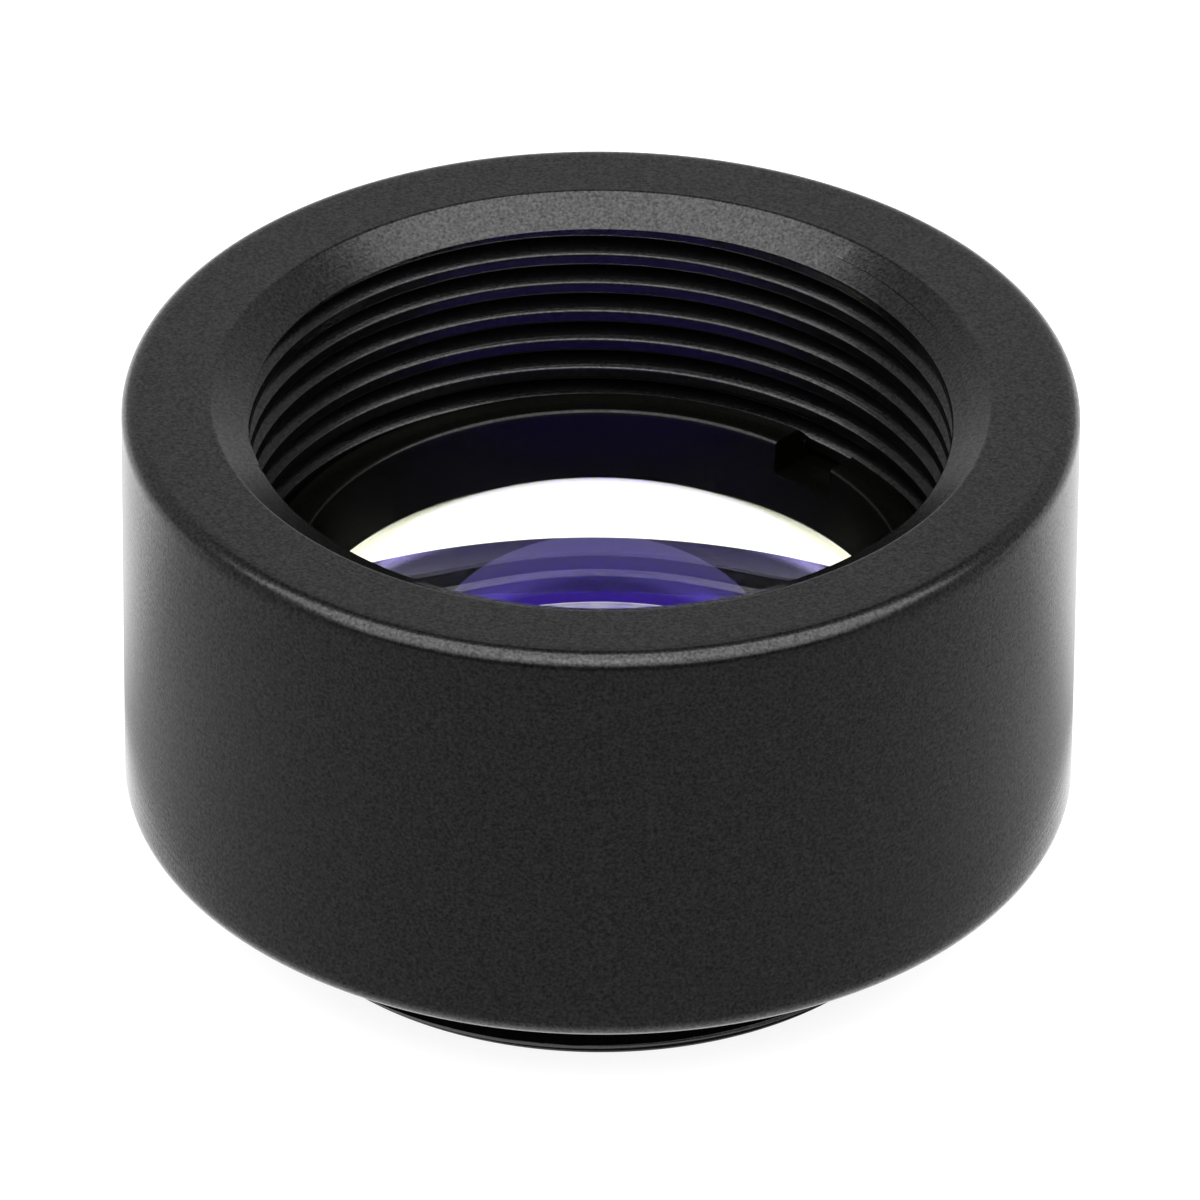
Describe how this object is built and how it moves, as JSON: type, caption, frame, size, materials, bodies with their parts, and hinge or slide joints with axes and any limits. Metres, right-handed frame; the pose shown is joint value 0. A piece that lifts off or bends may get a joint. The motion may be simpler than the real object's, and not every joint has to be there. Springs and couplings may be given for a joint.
{
  "type": "mounted aspheric lens",
  "caption": "Short round threaded cell holding a domed aspheric glass lens under a slotted retaining ring, to screw into optical tubes and collimate or focus light.",
  "frame": {"origin": "middle of the threaded boss's end face, on which the part stands", "axes": "+Z along the optical axis, from the boss to the internally threaded end; one retaining ring slot lies 47 degrees from +X towards +Y"},
  "size_m": [0.0178, 0.0178, 0.0104],
  "materials": {
    "black_anodised_housing": "satin black anodised, fine turned lines",
    "black_anodised_ring": "satin black anodised",
    "coated_glass": "polished, with a violet-blue anti-reflection coating"
  },
  "bodies": {
    "root": {"housing": "black_anodised_housing", "aspheric_lens": "coated_glass", "retaining_ring": "black_anodised_ring"}
  },
  "joints": []
}
